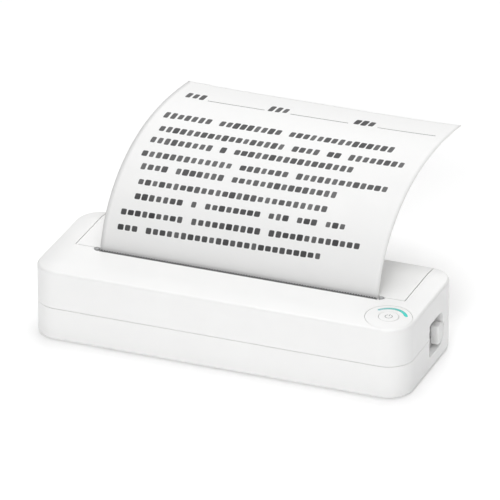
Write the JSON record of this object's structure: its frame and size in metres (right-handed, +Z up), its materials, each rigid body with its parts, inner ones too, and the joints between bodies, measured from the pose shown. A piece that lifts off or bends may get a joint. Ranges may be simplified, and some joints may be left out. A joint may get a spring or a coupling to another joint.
{
  "type": "portable thermal printer",
  "caption": "Long rounded desktop thermal printer for A4 sheets, with a hinged rear cover, paper bay, platen and fixed print head, a side latch and a printed sheet in the slot.",
  "frame": {"origin": "under the middle of the housing, at the level of the rubber feet's undersides", "axes": "+X along the housing towards the control panel and the latch, +Y to the rear where the cover hinges, +Z up"},
  "size_m": [0.282, 0.2122, 0.1186],
  "materials": {
    "white_shell": "white ABS, satin to gloss",
    "panel_white": "white ABS, satin",
    "teal_light": "translucent turquoise light pipe",
    "dark_grey": "dark grey moulded plastic",
    "chip_black": "black moulded chip packages",
    "foot_rubber": "dark grey rubber",
    "platen_black": "black ground rubber",
    "screw_steel": "plain zinc-plated steel",
    "motor_grey": "plated motor can",
    "sink_aluminium": "plain extruded aluminium",
    "strip_ceramic": "glazed alumina strip",
    "board_green": "green solder mask on glass epoxy",
    "capacitor_blue": "sleeved aluminium cans",
    "connector_cream": "cream nylon",
    "cell_blue": "plain heat-shrink sleeve over steel cells",
    "pinion_brass": "plain brass",
    "gear_white": "natural acetal",
    "bushing_bronze": "sintered bronze",
    "inner_grey": "light grey ABS, matt",
    "paper_white": "smooth white thermal paper",
    "core_card": "spiral-wound cardboard"
  },
  "bodies": {
    "housing": {"base_shell": "white_shell", "top_shell": "white_shell", "rubber_feet": "foot_rubber", "case_screws": "screw_steel", "tear_bar": "dark_grey", "control_panel": "panel_white", "light_arc": "teal_light", "button_board": "board_green", "tact_switch": "dark_grey", "main_board": "board_green", "processor_chip": "chip_black", "board_chips": "chip_black", "board_capacitors": "capacitor_blue", "board_connectors": "connector_cream", "board_screws": "screw_steel", "usb_socket": "screw_steel", "battery_cells": "cell_blue", "mechanism_frame": "screw_steel", "frame_screws": "screw_steel", "head_pivot": "screw_steel", "head_springs": "screw_steel", "paper_guide": "dark_grey", "motor_case": "motor_grey", "gear_axle": "screw_steel", "hinge_pins": "screw_steel", "printed_sheet": "paper_white", "latch_guide": "inner_grey", "latch_spring": "screw_steel"},
    "power_button": {"power_button": "white_shell"},
    "print_head": {"head_heatsink": "sink_aluminium", "head_strip": "strip_ceramic", "head_driver_cover": "dark_grey"},
    "motor_rotor": {"motor_shaft": "screw_steel", "motor_pinion": "pinion_brass"},
    "reduction": {"reduction_gear": "gear_white"},
    "rear_cover": {"rear_cover": "white_shell", "cover_liner": "inner_grey", "liner_screws": "screw_steel", "cover_catch": "inner_grey", "bracket_left": "inner_grey", "bracket_right": "inner_grey", "platen_bushings": "bushing_bronze"},
    "platen": {"platen_gear": "gear_white", "platen_shaft": "screw_steel", "platen_rubber": "platen_black"},
    "paper_roll": {"paper_roll": "paper_white", "roll_core": "core_card", "roll_hubs": "dark_grey"},
    "latch": {"latch_knob": "white_shell", "latch_slide": "inner_grey"}
  },
  "joints": [
    {"name": "cover_hinge", "type": "hinge", "parent": "housing", "child": "rear_cover", "pos_m": [0, 0.049, 0.0299], "axis": [-1, 0, 0], "range_deg": [0, 90]},
    {"name": "roll_spin", "type": "hinge", "parent": "housing", "child": "paper_roll", "pos_m": [0, 0.0255, 0.0243], "axis": [1, 0, 0], "continuous": true},
    {"name": "platen_spin", "type": "hinge", "parent": "rear_cover", "child": "platen", "pos_m": [0, -0.002, 0.0445], "axis": [1, 0, 0], "continuous": true},
    {"name": "reduction_spin", "type": "hinge", "parent": "housing", "child": "reduction", "pos_m": [-0.119, -0.00497, 0.03412], "axis": [1, 0, 0], "continuous": true},
    {"name": "motor_spin", "type": "hinge", "parent": "housing", "child": "motor_rotor", "pos_m": [-0.118, -0.00969, 0.02115], "axis": [1, 0, 0], "continuous": true},
    {"name": "head_rock", "type": "hinge", "parent": "housing", "child": "print_head", "pos_m": [0, -0.01111, 0.0345], "axis": [1, 0, 0], "range_deg": [0, 2.5], "stiffness_Nm_per_rad": 4, "springref_deg": -5.73, "deforming": ["head_springs"]},
    {"name": "latch_travel", "type": "slide", "parent": "housing", "child": "latch", "axis": [0, -1, 0], "range_m": [0, 0.008], "stiffness_N_per_m": 80, "springref_m": -0.006, "deforming": ["latch_spring"]},
    {"name": "power_press", "type": "slide", "parent": "housing", "child": "power_button", "axis": [0, 0, -1], "range_m": [0, 0.0006], "stiffness_N_per_m": 900, "springref_m": -0.0005}
  ],
  "couplings": [
    {"joint": "platen_spin", "follows": "roll_spin", "ratio": 3.1667},
    {"joint": "reduction_spin", "follows": "roll_spin", "ratio": -4.9762},
    {"joint": "motor_spin", "follows": "roll_spin", "ratio": 14.099}
  ]
}
